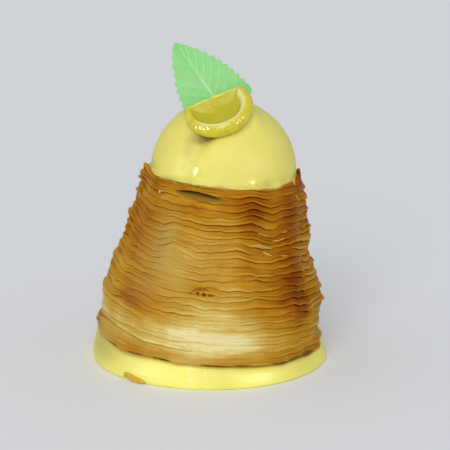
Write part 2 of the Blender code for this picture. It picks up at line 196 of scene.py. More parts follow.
# Lumps: angle, height, half-width, half-thickness
BLISTERS = in_metres((1, 2, 3), (
    (-8.3, 19.4, 0.42, 0.32), (-4.9, 19.2, 0.5, 0.34), (-2, 19.1, 0.38, 0.28),
    (-0.7, 19, 0.3, 0.22), (-12.3, 19.3, 0.2, 0.18),
))
BLISTER_ARCS = in_metres((1, 3, 4, 5), (
    (-10.4, 20.3, -2.6, 20.3, -0.45, 0.3), (-11.6, 19.6, -9.8, 20.3, 0, 0.18),
))
BURNT_EDGE = in_metres((1, 3, 4, 5), (
    (-57, 0.4, -48, 0.3, 0, 0.16), (-41, 0.3, -31, 0.2, 0, 0.18), (-27, 0.2, -17, 0.2, 0, 0.2),
    (-3, 0.2, 12, 0.1, 0, 0.22), (13, 0.2, 22, 0.2, 0, 0.14), (33.5, 0.2, 43, 0.1, 0, 0.24),
    (45, 0.3, 53, 0.4, 0, 0.18), (56.5, 0.4, 65, 0.3, 0, 0.34), (150, 0.3, 163, 0.3, 0, 0.2),
    (208, 0.3, 224, 0.3, 0, 0.26),
))
SUGAR_SPECKS = in_metres((1, 2, 3), (
    (-48, 44.2, 0.38, 0.32), (-43.5, 43.1, 0.26, 0.24), (-46, 44.6, 0.2, 0.18),
    (-73, 40.5, 0.26, 0.22),
))
# The flake on the foot: angle, half-spread, height, half-height, thickness
FOOT_FLAKE = (-39.0, 6.5, 0.0011, 0.0011, 0.00028)
# Its section: share of the outline, share of the thickness
FOOT_FLAKE_PROFILE = ((0.3, -0.3), (0.9, -0.3), (1.0, 0.3), (0.93, 0.8), (0.6, 1.0), (0.2, 1.0))

# The slit high on the front
SLIT_ANGLE = -17.0
SLIT_HALF_ANGLE = 19.0
SLIT_HEIGHT = 0.045
SLIT_DROP = 0.00045
SLIT_HALF_HEIGHT = 0.00125
SLIT_DEPTH = 0.0024

# The glazed dome
DOME_RADIUS = 0.0211
DOME_CENTRE = (RIM_SHIFT, 0.0485)
# Soft hills and hollows in the glaze: angle, elevation, half-spread, height
DOME_HILLS = in_metres((3,), (
    (20, 62, 15, 1.8), (34, 54, 8, 0.8), (-17, 38, 7, -1.5), (-21, 31, 5, -1), (-25, 24, 5, -0.8),
    (-28, 16, 4.5, -0.6), (-31, 7, 4.5, -0.5), (-17, 9, 5, 0.3), (-21, -1.5, 5, 0.7),
    (23, -1.5, 4, 0.5), (-12, 18, 7, 0.4), (-9, 30, 7, 0.5), (-46, 22, 13, 0.2),
))
# The drip edge: angle, height along the axis
GLAZE_EDGE = in_metres((1,), (
    (-180, 47.4), (-150, 46.7), (-120, 47.4), (-95, 47.6), (-60, 47.4), (-46, 47.4), (-34, 47.6),
    (-21, 47.7), (-10, 47.1), (5, 47), (16, 46.9), (26, 46.7), (31, 47.1), (46, 47.3), (60, 47.6),
    (69, 47), (74, 47), (82, 47.7), (110, 47.5), (135, 46.6), (160, 47.3), (180, 47.4),
))
# Painted shade (olive), painted shadow under the slice (brown), and where the glaze is wet: angle,
# half-spread, elevation, half-spread, amount
GLAZE_SHADES = (
    (-29, 8, 33, 7, 0.7), (-32, 5, 21, 6, 0.35), (0, 6, -1.5, 2, 0.35), (34, 6, 1, 3, 0.4),
    (-45, 12, -1, 2, 0.25),
)
GLAZE_BROWN_SHADOWS = (
    (-19, 8, 35.5, 3.2, 0.75), (-24, 5, 32, 3, 0.4),
)
GLAZE_WETS = (
    (-21, 5, 9, 5, 1), (-24, 4.5, 2, 4.5, 1), (23, 5, 1, 3, 1), (8, 30, -1.5, 2, 0.6),
    (66, 6, 0, 4, 0.8), (-60, 6, 2, 3, 0.5),
)
# The glaze's skirt inside the bell's rim: how far out, and how far below the drip edge
GLAZE_SKIRT = ((0.0204, 0.0002), (0.0212, 0.0003))
GLAZE_WAVE = 0.00022
GLAZE_LIP = 0.0008
GLAZE_LIP_HALF = 0.0009

# The foot of set glaze
FOOT_RADIUS = 0.0348
FOOT_NARROWER = 0.0013
FOOT_UNEVEN = 0.0002
GAP = 0.0003
# The side: share of the height, how far inside the full radius
FOOT_PROFILE = in_metres((1,), (
    (0, 0.8), (0.04, 0.3), (0.14, 0), (0.32, 0.1), (0.54, 0.5), (0.72, 0.9), (0.83, 1.3),
    (0.91, 1.8), (0.965, 2.4), (1, 3.2),
))
# The top: how far inside the full radius, how far above the level
FOOT_TOP = ((0.0036, 0.00005), (0.0044, 0.0001), (0.0052, 0.0001), (0.008, 0.0))
# On its glaze, painted shade on the low left: angle, half-spread
FOOT_SHADED_LEFT = (-68.0, 18.0)
# The glossy places: angle, half-spread, amount
FOOT_GLOSS = ((23.0, 9.0, 1.0), (-8.0, 8.0, 0.7))
# The pale streaks: angle at the top, drift down to the ground, amount
FOOT_STREAKS = ((-10.4, 2.0, 1.0), (-2.4, 1.2, 0.6))
FOOT_STREAK_HALF = 0.45

# The candied slice
SLICE_RADIUS = 0.0093
SLICE_PAST_HALF = math.radians(25.0)
SLICE_THICKNESS = 0.004
SLICE_CENTRE = np.array((0.0022, -0.0123, 0.0764))
SLICE_FACING = np.array((-0.230, -0.571, 0.788))
SLICE_CHORD = np.array((0.925, 0.124, 0.360))
# The arc's section: scale of the outline, depth behind the face as a share of the thickness
SLICE_PROFILE = (
    (0.35, 1), (0.68, 1), (0.9, 1), (0.97, 0.94), (1.01, 0.84), (1.045, 0.68), (1.055, 0.5),
    (1.045, 0.34), (1.02, 0.19), (0.985, 0.08), (0.94, 0.01), (0.895, -0.02), (0.86, -0.01),
    (0.83, 0.03), (0.79, 0.1), (0.755, 0.18), (0.72, 0.27), (0.66, 0.36), (0.57, 0.44),
    (0.45, 0.49), (0.3, 0.51), (0.15, 0.52),
)
# The same where the outline is the straight cut edge
SLICE_CUT_PROFILE = (
    (0.35, 1), (0.68, 1), (0.9, 1), (0.96, 0.94), (0.99, 0.84), (1, 0.68), (1, 0.5), (1, 0.34),
    (1, 0.2), (0.99, 0.11), (0.98, 0.07), (0.965, 0.06), (0.95, 0.08), (0.93, 0.1), (0.9, 0.12),
    (0.86, 0.15), (0.79, 0.2), (0.7, 0.27), (0.58, 0.35), (0.45, 0.42), (0.3, 0.47), (0.15, 0.5),
)
SLICE_INSIDE_FROM = 14.5
SLICE_LOW_RIM = 0.095
SLICE_RIGHT_RIM = 0.06
SLICE_END_RIM = 0.05

# The leaf
LEAF_LENGTH = 0.0231
LEAF_HALF_WIDTH = 0.01
LEAF_THICKNESS = 0.0007
LEAF_BASE = np.array((0.0036, -0.0060, 0.0746))
LEAF_FACING = np.array((0.03, -0.955, 0.28))
LEAF_SWING = math.radians(36.2)
LEAF_TEETH = 11
LEAF_TOOTH = 0.00085
LEAF_FOOT_SHARE = 0.155
LEAF_TIP_SHARE = 0.985
LEAF_TIP_HALF_WIDTH = 0.0006
LEAF_VEINS = 8.0
LEAF_VEIN_SLANT = 3.0
LEAF_WAVE = 0.0005
LEAF_CURL = 0.0004

# The camera, fitted to the photograph
CAMERA_PLACE = (0.00435, -0.400, 0.131)
CAMERA_PITCH = 0.2255
CAMERA_LENS = 112.24

# The soft sun, its turn round the part, height and softness in degrees
SUN_TURN = -9.0
SUN_HEIGHT = 30.0
SUN_SOFTNESS = 40.0
SUN_STRENGTH = 1.58
# Panels seen only as highlights: name, place, size, power, spread in degrees
PANELS = (
    ("Left_strip", (-0.52, -0.30, 0.10), (0.12, 0.40), 0.225, 50.0),
    ("Right_spot", (0.41, -0.40, 0.17), (0.26, 0.15), 0.110, 40.0),
)
PANEL_TARGET = (0.0, 0.0, 0.055)
SKY_COLOUR = (0.97, 0.98, 1.0, 1.0)
SKY_STRENGTH = 0.48
FLOOR_HALF = 6.0


def srgb(red, green, blue):
    """A colour read from 0 to 255, as the shader's linear colour."""
    linear = [((c / 255.0 + 0.055) / 1.055) ** 2.4 for c in (red, green, blue)]
    return (*linear, 1.0)


# Noise and soft shapes

def lattice(ix, iy, iz, seed):
    """A repeatable number from -1 to 1 for each whole-numbered place."""
    mixed = ix * 73856093 ^ iy * 19349663 ^ iz * 83492791 ^ (seed * 40503 + 12345)
    mixed = (mixed & 0x7FFFFFFF) * 1103515245 & 0x7FFFFFFF
    mixed = (mixed ^ (mixed >> 13)) * 1274126177 & 0x7FFFFFFF
    mixed = mixed ^ (mixed >> 15)
    return (mixed & 0xFFFF) / 32767.5 - 1.0


def smooth_noise(x, y, z, seed):
    """Smooth noise from about -1 to 1 with features one unit across."""
    x, y, z = np.broadcast_arrays(x, y, z)
    cells = [np.floor(v).astype(np.int64) for v in (x, y, z)]
    shares = [v - c for v, c in zip((x, y, z), cells)]
    fx, fy, fz = [s * s * (3.0 - 2.0 * s) for s in shares]
    total = 0.0
    for dx, dy, dz in np.ndindex(2, 2, 2):
        weight = (fx if dx else 1.0 - fx) * (fy if dy else 1.0 - fy)
        weight = weight * (fz if dz else 1.0 - fz)
        total = total + weight * lattice(cells[0] + dx, cells[1] + dy, cells[2] + dz, seed)
    return total


def round_noise(angle, turns, height, seed):
    """Noise round an axis, with about this many features in each radian."""
    return smooth_noise(turns * np.sin(angle), turns * np.cos(angle), height, seed)


def full_turn(count):
    return np.linspace(0.0, 2.0 * math.pi, count, endpoint=False)


def unit(vector):
    return vector / np.linalg.norm(vector)


def angle_from(angle, degrees):
    """Degrees past a direction, between -180 and 180."""
    return (np.degrees(angle) - degrees + 180.0) % 360.0 - 180.0


def clamp(value):
    return np.clip(value, 0.0, 1.0)


def hill(distance, spread):
    return np.exp(-((distance / spread) ** 2))


def hill_at(angle, degrees, spread):
    """A soft hill across one direction."""
    return hill(angle_from(angle, degrees), spread)


def hills(angle, height, table):
    """The sum of the table's soft hills at places on the bell's side."""
    total = 0.0 * (angle + height)
    for degrees, spread, middle, half, amount in table:
        total += amount * hill_at(angle, degrees, spread) * hill(height - middle, half)
    return total


def covered(angle, height, table):
    """The table's hills as a share from 0 to 1."""
    return clamp(hills(angle, height, table))


# Meshes

def stand(name, data, place_at=(0.0, 0.0, 0.0), turn=(0.0, 0.0, 0.0)):
    """An object in the scene for a mesh, a light or the camera."""
    thing = bpy.data.objects.new(name, data)
    thing.location = place_at
    thing.rotation_euler = turn
    bpy.context.scene.collection.objects.link(thing)
    return thing


def object_from(name, points, faces, marks, material):
    """A smooth-shaded object with one value a point for each named mark."""
    mesh = bpy.data.meshes.new(name)
    mesh.from_pydata(np.asarray(points).tolist(), [], faces)
    mesh.shade_smooth()
    for mark, values in marks.items():
        attribute = mesh.attributes.new(mark, "FLOAT", "POINT")
        attribute.data.foreach_set("value", np.asarray(values, np.float32))
    mesh.materials.append(material)
    return stand(name, mesh)


def tubes(name, solids, material):
    """One object of several closed solids, each given as rings of points."""
    points, faces = [], []
    for rings in solids:
        solid_points, solid_faces = closed_rings(rings)
        start = len(points)
        faces += [tuple(corner + start for corner in face) for face in solid_faces]
        points += solid_points.tolist()
    return object_from(name, points, faces, {}, material)


def closed_rings(rings):
    """The points and faces of rings of points, each end closed by a middle point."""
    rings = np.asarray(rings)
    count, sides = rings.shape[:2]
    here = np.arange(count * sides).reshape(count, sides)
    after = np.roll(here, -1, axis=1)
    quads = np.stack([here[:-1], after[:-1], after[1:], here[1:]], -1).reshape(-1, 4)
    faces = quads.tolist()
    low = count * sides
    last = low - sides
    for side, following in zip(here[0].tolist(), after[0].tolist()):
        faces.append((low, following, side))
        faces.append((low + 1, last + side, last + following))
    ends = np.stack([rings[0].mean(axis=0), rings[-1].mean(axis=0)])
    return np.concatenate([rings.reshape(-1, 3), ends]), faces


class Rings:
    """Rings of points round an axis, with a value at each point for each mark."""

    def __init__(self, angle, points_at, *marks):
        self.angle = angle
        self.points_at = points_at
        self.points, self.outs, self.heights = [], [], []
        self.marks = {mark: [] for mark in marks}

    def add(self, out, height, **values):
        self.points.append(self.points_at(self.angle, out, height))
        self.outs.append(out + 0.0 * self.angle)
        self.heights.append(height + 0.0 * self.angle)
        for mark, grid in self.marks.items():
            grid.append(values.get(mark, 0.0) + 0.0 * self.angle)


def ring_solid(name, rings, marks, material):
    """One closed object through rings of points, with a value for each point and mark."""
    points, faces = closed_rings(rings)
    values = {}
    for mark, grid in marks.items():
        grid = np.asarray(grid)
        values[mark] = np.concatenate([grid.reshape(-1), [grid[0].mean(), grid[-1].mean()]])
    return object_from(name, points, faces, values, material)


def place(piece, node, slot):
    """The piece rides with the part and stands for the node, whose CAD part is hidden; the slot is
    not used.
    """
    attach(piece, "root")
    if node:
        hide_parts(node)


# Materials

class Finish:
    """A Principled material with short forms for the nodes that feed it."""

    def __init__(self, name, specular=0.5, glow=0.0, glow_depth=0.05, glow_tint=(1.0, 0.2, 0.1)):
        self.material = bpy.data.materials.new(name)
        self.material.use_nodes = True
        self.tree = self.material.node_tree
        self.shader = self.tree.nodes["Principled BSDF"]
        self.give("Specular IOR Level", specular)
        self.give("Subsurface Weight", glow)
        self.give("Subsurface Scale", glow_depth)
        self.give("Subsurface Radius", glow_tint)
        self.place = self.node("TexCoord").outputs["Object"]

    def node(self, kind, *values, **named):
        """A new node, its sockets fed in their order or by name."""
        node = self.tree.nodes.new("ShaderNode" + kind)
        for socket, value in zip(node.inputs, values):
            self.feed(socket, value)
        for name, value in named.items():
            self.feed(node.inputs[name], value)
        return node

    def feed(self, socket, value):
        if isinstance(value, bpy.types.NodeSocket):
            self.tree.links.new(value, socket)
        else:
            socket.default_value = value

    def mark(self, name):
        node = self.node("Attribute")
        node.attribute_name = name
        return node.outputs["Fac"]

    def follow(self, name, pitch):
        """Lets the noises run along the layers: the mark times the pitch stands for the height."""
        split = self.node("SeparateXYZ", self.place).outputs
        up = self.math("MULTIPLY", self.mark(name), pitch)
        return self.node("CombineXYZ", split[0], split[1], up).outputs[0]

    def noise(self, scale, detail=3.0, stretch=(1.0, 1.0, 1.0), roughness=0.5, place=None):
        stretched = self.node("Mapping", Scale=stretch, Vector=place or self.place).outputs["Vector"]
        named = {"Scale": scale, "Detail": detail, "Roughness": roughness, "Vector": stretched}
        return self.node("TexNoise", **named).outputs["Fac"]

    def cells(self, scale):
        return self.node("TexVoronoi", Scale=scale, Vector=self.place).outputs["Distance"]

    def math(self, operation, *values):
        node = self.node("Math", *values)
        node.operation = operation
        return node.outputs["Value"]

    def spread(self, value, low, high, new_low=0.0, new_high=1.0):
        return self.node("MapRange", value, low, high, new_low, new_high).outputs["Result"]

    def ramp(self, factor, stops):
        node = self.node("ValToRGB", factor)
        elements = node.color_ramp.elements
        while len(elements) < len(stops):
            elements.new(0.5)
        for element, (position, *colour) in zip(elements, stops):
            element.position = position
            element.color = srgb(*colour)
        return node.outputs["Color"]

    def mix(self, factor, first, second):
        node = self.node("Mix", factor)
        node.data_type = "RGBA"
        self.feed(node.inputs[6], first)
        self.feed(node.inputs[7], second)
        return node.outputs[2]

    def tinted(self, colour, tints):
        """The colour, covered in turn by each mark's own colour."""
        for mark, tone in tints.items():
            colour = self.mix(self.mark(mark), colour, srgb(*tone))
        return colour

    def give(self, socket, value):
        self.feed(self.shader.inputs[socket], value)

    def bump(self, height, distance, strength):
        node = self.node("Bump", Strength=strength, Distance=distance, Height=height)
        self.give("Normal", node.outputs["Normal"])


def pastry_finish():
    """Baked laminated dough: cream to dark brown by the bake, with streaks along the layers, painted
    shade in the creases and painted light on the lips.
    """
    look = Finish("pastry", 0.05, 0.5, 0.0012, (1.0, 0.55, 0.12))
    layered = look.follow("rank", LAYER_PITCH)
    patches = look.noise(90.0, 3.0, (1.0, 1.0, 0.7))
    columns = look.noise(75.0, 2.0, (1.0, 1.0, 0.25))
    bands = look.noise(38.0, 3.0, (1.0, 1.0, 9.0), 0.6, layered)
    streaks = look.noise(110.0, 3.0, (1.0, 1.0, 13.0), 0.6, layered)
    grain = look.noise(900.0, 2.0, (1.0, 1.0, 2.0))
    edge = look.mark("edge")
    bake_and_shade = look.mark("bake_and_shade")
    tones = ((patches, 0.09), (columns, 0.08), (bands, 0.11), (streaks, 0.08), (grain, 0.02))
    for tone, amount in tones:
        bake_and_shade = look.math("ADD", bake_and_shade, look.spread(tone, 0.3, 0.7, -amount, amount))
    # Painted shade: the creases under the lips are made darker. Painted light: the lips themselves
    # are made paler.
    bake_and_shade = look.math("ADD", bake_and_shade, look.spread(edge, -0.1, -0.95, 0.0, 0.25))
    bake_and_shade = look.math("SUBTRACT", bake_and_shade, look.spread(edge, 0.35, 1.0, 0.0, 0.12))
    colour = look.ramp(look.math("MULTIPLY", bake_and_shade, 0.8), BAKE_COLOURS)
    olive = look.math("MULTIPLY", look.mark("olive"), look.spread(patches, 0.35, 0.65, 0.35, 0.85))
    colour = look.mix(olive, colour, srgb(186, 156, 80))
    slit_and_lip_shadow = look.mark("slit")
    # Inside the slit its own olive tone; towards the slit's top, dark painted shadow under its upper
    # lip.
    colour = look.mix(look.spread(slit_and_lip_shadow, 0.05, 0.3), colour, srgb(158, 126, 46))
    colour = look.mix(look.spread(slit_and_lip_shadow, 0.58, 0.85), colour, srgb(104, 60, 18))
    # The char mark: burnt spots, and painted shadow in the gap along the bottom edge.
    look.give("Base Color", look.tinted(colour, {"char_and_gap_shade": (72, 38, 8)}))
    look.give("Roughness", look.spread(patches, 0.3, 0.7, 0.42, 0.6))
    height = look.math("MULTIPLY_ADD", streaks, 1.0, look.math("MULTIPLY", grain, 0.3))
    height = look.math("MULTIPLY_ADD", bands, 0.8, height)
    look.bump(height, 0.00024, 0.8)
    return look.material


def glaze_finish(name, bright, dull):
    """Set lemon glaze: opaque and waxy, glossy only where it stayed wet, with fine pores, and
    painted shade and shadow from its marks.
    """
    look = Finish(name, 0.42, 0.2, 0.0016, (1.0, 0.8, 0.25))
    clouds = look.noise(55.0)
    pores = look.noise(1000.0, 2.0)
    colour = look.mix(look.spread(clouds, 0.35, 0.7, 0.0, 0.5), srgb(*bright), srgb(*dull))
    # The first three marks paint shade, and shadow under the slice; pale is the glaze's own paler
    # streaks.
    marks = {"dull": dull, "shade": (170, 150, 66), "brown": (116, 64, 16), "pale": (255, 251, 196)}
    look.give("Base Color", look.tinted(colour, marks))
    dry = look.spread(clouds, 0.3, 0.7, 0.42, 0.56)
    wet = look.math("MULTIPLY", look.mark("wet"), -0.46)
    look.give("Roughness", look.math("MAXIMUM", look.math("ADD", dry, wet), 0.08))
    waves = look.noise(260.0, 2.0)
    height = look.math("MULTIPLY_ADD", waves, 1.0, look.math("MULTIPLY", pores, 0.4))
    look.bump(height, 0.00013, 0.6)
    return look.material


def candied_finish():
    """Candied citrus: olive-gold pulp and rind that let light in, and a pale pith line."""
    look = Finish("candied_slice", 0.5, 0.4, 0.0022, (1.0, 0.85, 0.12))
    clouds = look.noise(330.0)
    colour = look.mix(look.mark("pulp"), srgb(224, 212, 56), srgb(200, 190, 28))
    colour = look.mix(look.spread(clouds, 0.35, 0.7, 0.0, 0.4), colour, srgb(178, 166, 18))
    marks = {"membrane": (206, 200, 84), "pith": (238, 232, 160)}
    look.give("Base Color", look.tinted(colour, marks))
    look.give("Roughness", look.spread(look.mark("pulp"), 0.0, 1.0, 0.14, 0.42))
    fine = look.noise(1400.0, 2.0)
    pores = look.spread(look.cells(1100.0), 0.0, 0.9)
    rough_rind = look.math("MULTIPLY", pores, look.spread(look.mark("pulp"), 0.0, 1.0, 0.6, 0.1))
    height = look.math("MULTIPLY_ADD", clouds, 1.0, look.math("MULTIPLY", fine, 0.3))
    look.bump(look.math("ADD", height, rough_rind), 0.00018, 0.8)
    return look.material


def leaf_finish():
    """A matt pale green leaf with paler veins."""
    look = Finish("leaf", 0.5, 0.3, 0.0012, (0.5, 1.0, 0.5))
    clouds = look.noise(240.0)
    colour = look.mix(look.spread(clouds, 0.3, 0.7), srgb(132, 207, 119), srgb(144, 213, 131))
    marks = {"deep": (104, 188, 84), "vein": (178, 232, 168), "spot": (170, 192, 112)}
    look.give("Base Color", look.tinted(colour, marks))
    look.give("Roughness", 0.5)
    look.bump(look.noise(1800.0, 2.0), 0.00006, 0.6)
    return look.material


def flake_finish(name, colour, dark, roughness):
    """A loose bit of pastry or sugar, uneven in tone."""
    look = Finish(name, 0.12)
    tone = look.noise(900.0)
    look.give("Base Color", look.mix(look.spread(tone, 0.35, 0.65), srgb(*colour), srgb(*dark)))
    look.give("Roughness", roughness)
    look.bump(tone, 0.0001, 0.6)
    return look.material


# The bell's side

def leaned(across, depth, height):
    """Points of the bell's leaning frame, in the part's frame."""
    x = SHELL_BASE[0] + across * math.cos(LEAN) + height * math.sin(LEAN)
    z = SHELL_BASE[2] - across * math.sin(LEAN) + height * math.cos(LEAN)
    return np.stack(np.broadcast_arrays(x, depth, z), axis=-1)


def around(angle, radius, height):
    shift = RIM_SHIFT * height / SHELL_HEIGHT
    return leaned(shift + radius * np.sin(angle), -radius * np.cos(angle), height)


def outward_at(angle):
    """The way straight out of the bell at an angle."""
    return leaned(np.sin(angle), -np.cos(angle), 0.0) - leaned(0.0, 0.0, 0.0)


def shell_radius(height):
    share = clamp(height / SHELL_HEIGHT)
    span = SHELL_BASE_RADIUS - SHELL_RIM_RADIUS
    return SHELL_RIM_RADIUS + span * (1.0 - share**SHELL_TAPER_POWER)


def side_radius(angle, height):
    return shell_radius(height) + hills(angle, height, BULGES) + hills(angle, height, FOLDS)


def layer_rise(angle, height):
    """How far the layers' lines run above their mean height."""
    share = clamp(height / SHELL_HEIGHT)
    tilt = np.where(np.sin(angle) < 0.0, LAYER_TILT_LEFT, LAYER_TILT_RIGHT)
    tilt = -tilt * np.sin(angle) ** 3 * np.sin(math.pi * share) ** LAYER_TILT_POWER
    free = np.sin(math.pi * share) ** 0.5
    ripple = RIPPLE * round_noise(angle, 6.5, height * 95.0, 21)
    ripple = ripple + FINE_RIPPLE * round_noise(angle, 15.0, height * 190.0, 22)
    return tilt + hills(angle, height, RIPPLES) + free * ripple


def line_wander(line, angle):
    """One line's own drift; the lowest and the highest line run true."""
    free = clamp(np.minimum(line, LAYER_COUNT - line) / 2.0)
    drift = LINE_WANDER * round_noise(angle, 2.6, line * 0.83, 1)
    drift = drift + 0.6 * LINE_WANDER * round_noise(angle, 5.5, line * 3.1, 2)
    return free * (drift + LINE_SHAKE * round_noise(angle, 15.0, line * 0.9, 3))


def wander(rank, angle):
    """Drift at a rank between two lines, so that layers thin and thicken but never cross."""
    line = np.floor(rank)
    share = rank - line
    return line_wander(line, angle) * (1.0 - share) + line_wander(line + 1.0, angle) * share


def slit(angle, height):
    """How open the slit is at a place, 0 to 1, and how far up between its edges it lies."""
    across = angle_from(angle, SLIT_ANGLE) / SLIT_HALF_ANGLE
    half = SLIT_HALF_HEIGHT * np.clip(1.0 - across**2, 0.001, 1.0)
    along = (height - SLIT_HEIGHT + SLIT_DROP * across) / half
    inside = clamp((1.0 - np.abs(along)) * 3.0) * (np.abs(across) < 1.0)
    return inside * clamp(2.5 * (1.0 - across**2)), clamp(0.5 + 0.5 * along)


def rim(angle):
    """How high the ragged rim stands and how far out it leans."""
    height = SHELL_HEIGHT + RIM_WAVE * round_noise(angle, 9.0, 0.0, 4)
    height = height + RIM_SHAKE * round_noise(angle, 30.0, 0.0, 17)
    out = 0.0 * angle
    for degrees, spread, rise, lean in RIM_CURLS:
        curl = hill_at(angle, degrees, spread)
        height = height + rise * curl
        out = out + lean * curl
    return height, out


def line_strength(line, angle):
    """How much the lip on one line stands out, fading in and out round the bell."""
    uneven = 1.0 + STRENGTH_SPREAD * round_noise(angle, 4.5, line * 3.3, 6)
    return np.clip(uneven, 0.08, 1.8)


def line_out(line, angle):
    """How far one layer as a whole sticks out or in, most at the bell's two sides."""
    sides = hill_at(angle, 90.0, 38.0) + hill_at(angle, -90.0, 38.0)
    amount = LINE_OUT + SIDE_OUT * sides
    return amount * round_noise(angle, 4.0, line * 2.3, 15)


def shell_rings():
    """Rings of the layered side, the rim and the seat, with their marks."""
    angle = full_turn(SHELL_SIDES)
    rings = Rings(angle, around, "edge", "slit", "rank")
    ledge = hill_at(angle, LEDGE_ANGLE, LEDGE_SPREAD)
    for layer in range(LAYER_COUNT):
        second = clamp(2.4 * round_noise(angle, 3.0, layer * 1.7, 5) + 0.35)
        second = second * (1.0 - ledge)
        low_strength = line_strength(layer, angle)
        high_strength = line_strength(layer + 1, angle)
        for step, (flat, hooked, hook_out) in enumerate(OVERHANG):
            blend = flat * flat * (3.0 - 2.0 * flat)
            uneven = low_strength * (1.0 - blend) + high_strength * blend
            hook = clamp(uneven)
            share = (flat + (hooked - flat) * hook) * (1.0 - ledge) + LEDGE[step][0] * ledge
            out = hook_out * (1.0 - ledge) + LEDGE[step][1] * ledge
            for index, amount in SECOND_LIP:
                if step == index:
                    out = out + amount * second
            rank = np.maximum(layer + share, 0.0)
            mean = rank * LAYER_PITCH
            height = mean + layer_rise(angle, mean) + wander(rank, angle)
            strength = (RELIEF_STRENGTH + hills(angle, height, RELIEF_HILLS)) * uneven
            open_here, up = slit(angle, height)
            strength = strength * (1.0 - open_here)
            step_out = np.where(out > 0.0, LIP_OUT, CREASE_IN) * out * strength
            step_out = step_out * (1.0 + LEDGE_OUT * ledge)
            step_out = step_out + line_out(layer, angle) * (1.0 - flat)
            step_out = step_out + line_out(layer + 1, angle) * flat
            depth = SLIT_DEPTH * open_here * (0.15 + 0.85 * up)
            swell = PUFF * round_noise(angle, 3.0, height * 230.0, 7)
            radius = side_radius(angle, height) + step_out - depth + swell
            if layer == 0:
                flare = clamp(round_noise(angle, 8.0, 0.0, 16)) * hill(flat, 0.2)
                radius = radius + BOTTOM_FLARE * flare
                height = height - 0.3 * BOTTOM_FLARE * flare
            # The edge mark is how far each lip stands out (1) or each crease sinks in (-1); the
            # pastry's colour paints light on the lips and shade in the creases from it.
            lip = out * np.clip(strength, 0.0, 1.2)
            # The slit mark grows towards the slit's top, where the pastry's colour paints shadow
            # under the upper lip.
            rings.add(radius, height, edge=lip, slit=open_here * (0.4 + 0.6 * up), rank=rank)
    top, lean = rim(angle)
    outer = SHELL_RIM_RADIUS + lean
    inner = outer - RIM_WALL
    last = LAYER_COUNT
    rings.add(outer - 0.0001, top - 0.0003, edge=0.3, rank=last)
    rings.add(outer - 0.0002, top, edge=0.6, rank=last + 0.1)
    rings.add(inner + RIM_ROUNDING, top, edge=0.4, rank=last + 0.3)
    rings.add(inner, top - RIM_ROUNDING, rank=last + 0.4)
    rings.add(SHELL_RIM_RADIUS - RIM_WALL - 0.0003, SHELL_HEIGHT - SEAT_DEPTH, rank=last + 0.5)
    return rings


def make_shell():
    """The layered bell; what it returns is its side, for the bits that lie on it."""
    rings = shell_rings()
    angle, heights = rings.angle, np.array(rings.heights)
    # The bake mark carries the bake and, high on the front right, painted shade under the lips.
    rings.marks["bake_and_shade"] = BAKE + hills(angle, heights, BAKE_AND_SHADE_HILLS)
    rings.marks["olive"] = covered(angle, heights, OLIVE_HILLS)
    # Charred spots, and painted shadow of the gap along the bottom edge.
    rings.marks["char_and_gap_shade"] = covered(angle, heights, CHAR_AND_GAP_SHADE_HILLS)
    piece = ring_solid("Pastry_layers", rings.points, rings.marks, pastry_finish())
    place(piece, "shell", "baked_pastry")
    return angle, heights, np.array(rings.outs)


# Small loose bits

def outermost(side, degrees, height, reach=0.0003):
    """The layered side's greatest radius near a place."""
    angle, heights, radii = side
    column = np.argmin(np.abs(angle_from(angle, degrees)))
    near = np.abs(heights[:-5, column] - height) < reach
    return radii[:-5, column][near].max() if near.any() else float(shell_radius(height))


def strand(path, half_across, half_up, outward, seed):
    """A thin bit along a path, thickest in its middle, with a slightly uneven width."""
    path = np.asarray(path)
    share = np.linspace(0.0, 1.0, len(path))
    taper = np.sqrt(np.clip(1.0 - (2.0 * share - 1.0) ** 2, 0.02, 1.0))
    taper = taper * (1.0 + 0.35 * smooth_noise(share * 7.0, 0.0, seed, 18))
    ahead = np.gradient(path, axis=0)
    ahead = ahead / np.linalg.norm(ahead, axis=1)[:, None]
    upward = np.cross(ahead, outward)
    turn = full_turn(STRAND_SIDES)
    rings = []
    for place_at, width, out, up in zip(path, taper, outward, upward):
        across = np.outer(np.cos(turn) * half_across * width, out)
        rings.append(place_at + across + np.outer(np.sin(turn) * half_up * width, up))
    return rings


def side_strand(side, bit, seed):
    """A strand lying on the layered side between two places."""
    from_degrees, from_height, to_degrees, to_height, sag, half_up = bit
    share = np.linspace(0.0, 1.0, 18)
    degrees = from_degrees + (to_degrees - from_degrees) * share
    height = from_height + (to_height - from_height) * share - sag * np.sin(math.pi * share)
    radius = np.array([outermost(side, *here) for here in zip(degrees, height)])
    radius = np.convolve(np.pad(radius, 2, "edge"), np.ones(5) / 5.0, "valid") + 0.5 * half_up
    angle = np.radians(degrees)
    return strand(around(angle, radius, height), 0.6 * half_up, half_up, outward_at(angle), seed)


def pebble(middle, outward, half_wide, half_thick, seed):
    """A small uneven lump, flattened against what it lies on."""
    outward = unit(outward)
    level = unit(np.cross((0.0, 0.0, 1.0), outward))
    up = np.cross(outward, level)
    turn = full_turn(PEBBLE_SIDES)
    rings = []
    for tilt in np.radians(np.linspace(-80.0, 80.0, 9)):
        uneven = 1.0 + 0.3 * round_noise(turn, 1.5, tilt + 5.0 * seed, 19)
        wide = half_wide * math.cos(tilt) * uneven
        flat = np.outer(wide * np.cos(turn), level) + np.outer(wide * np.sin(turn), up)
        rings.append(middle + flat + half_thick * math.sin(tilt) * outward)
    return rings


def lump_on_side(side, bit, seed):
    degrees, height, half_wide, half_thick = bit
    angle = math.radians(degrees)
    middle = around(angle, outermost(side, degrees, height), height)
    return pebble(middle, outward_at(angle), half_wide, half_thick, seed)


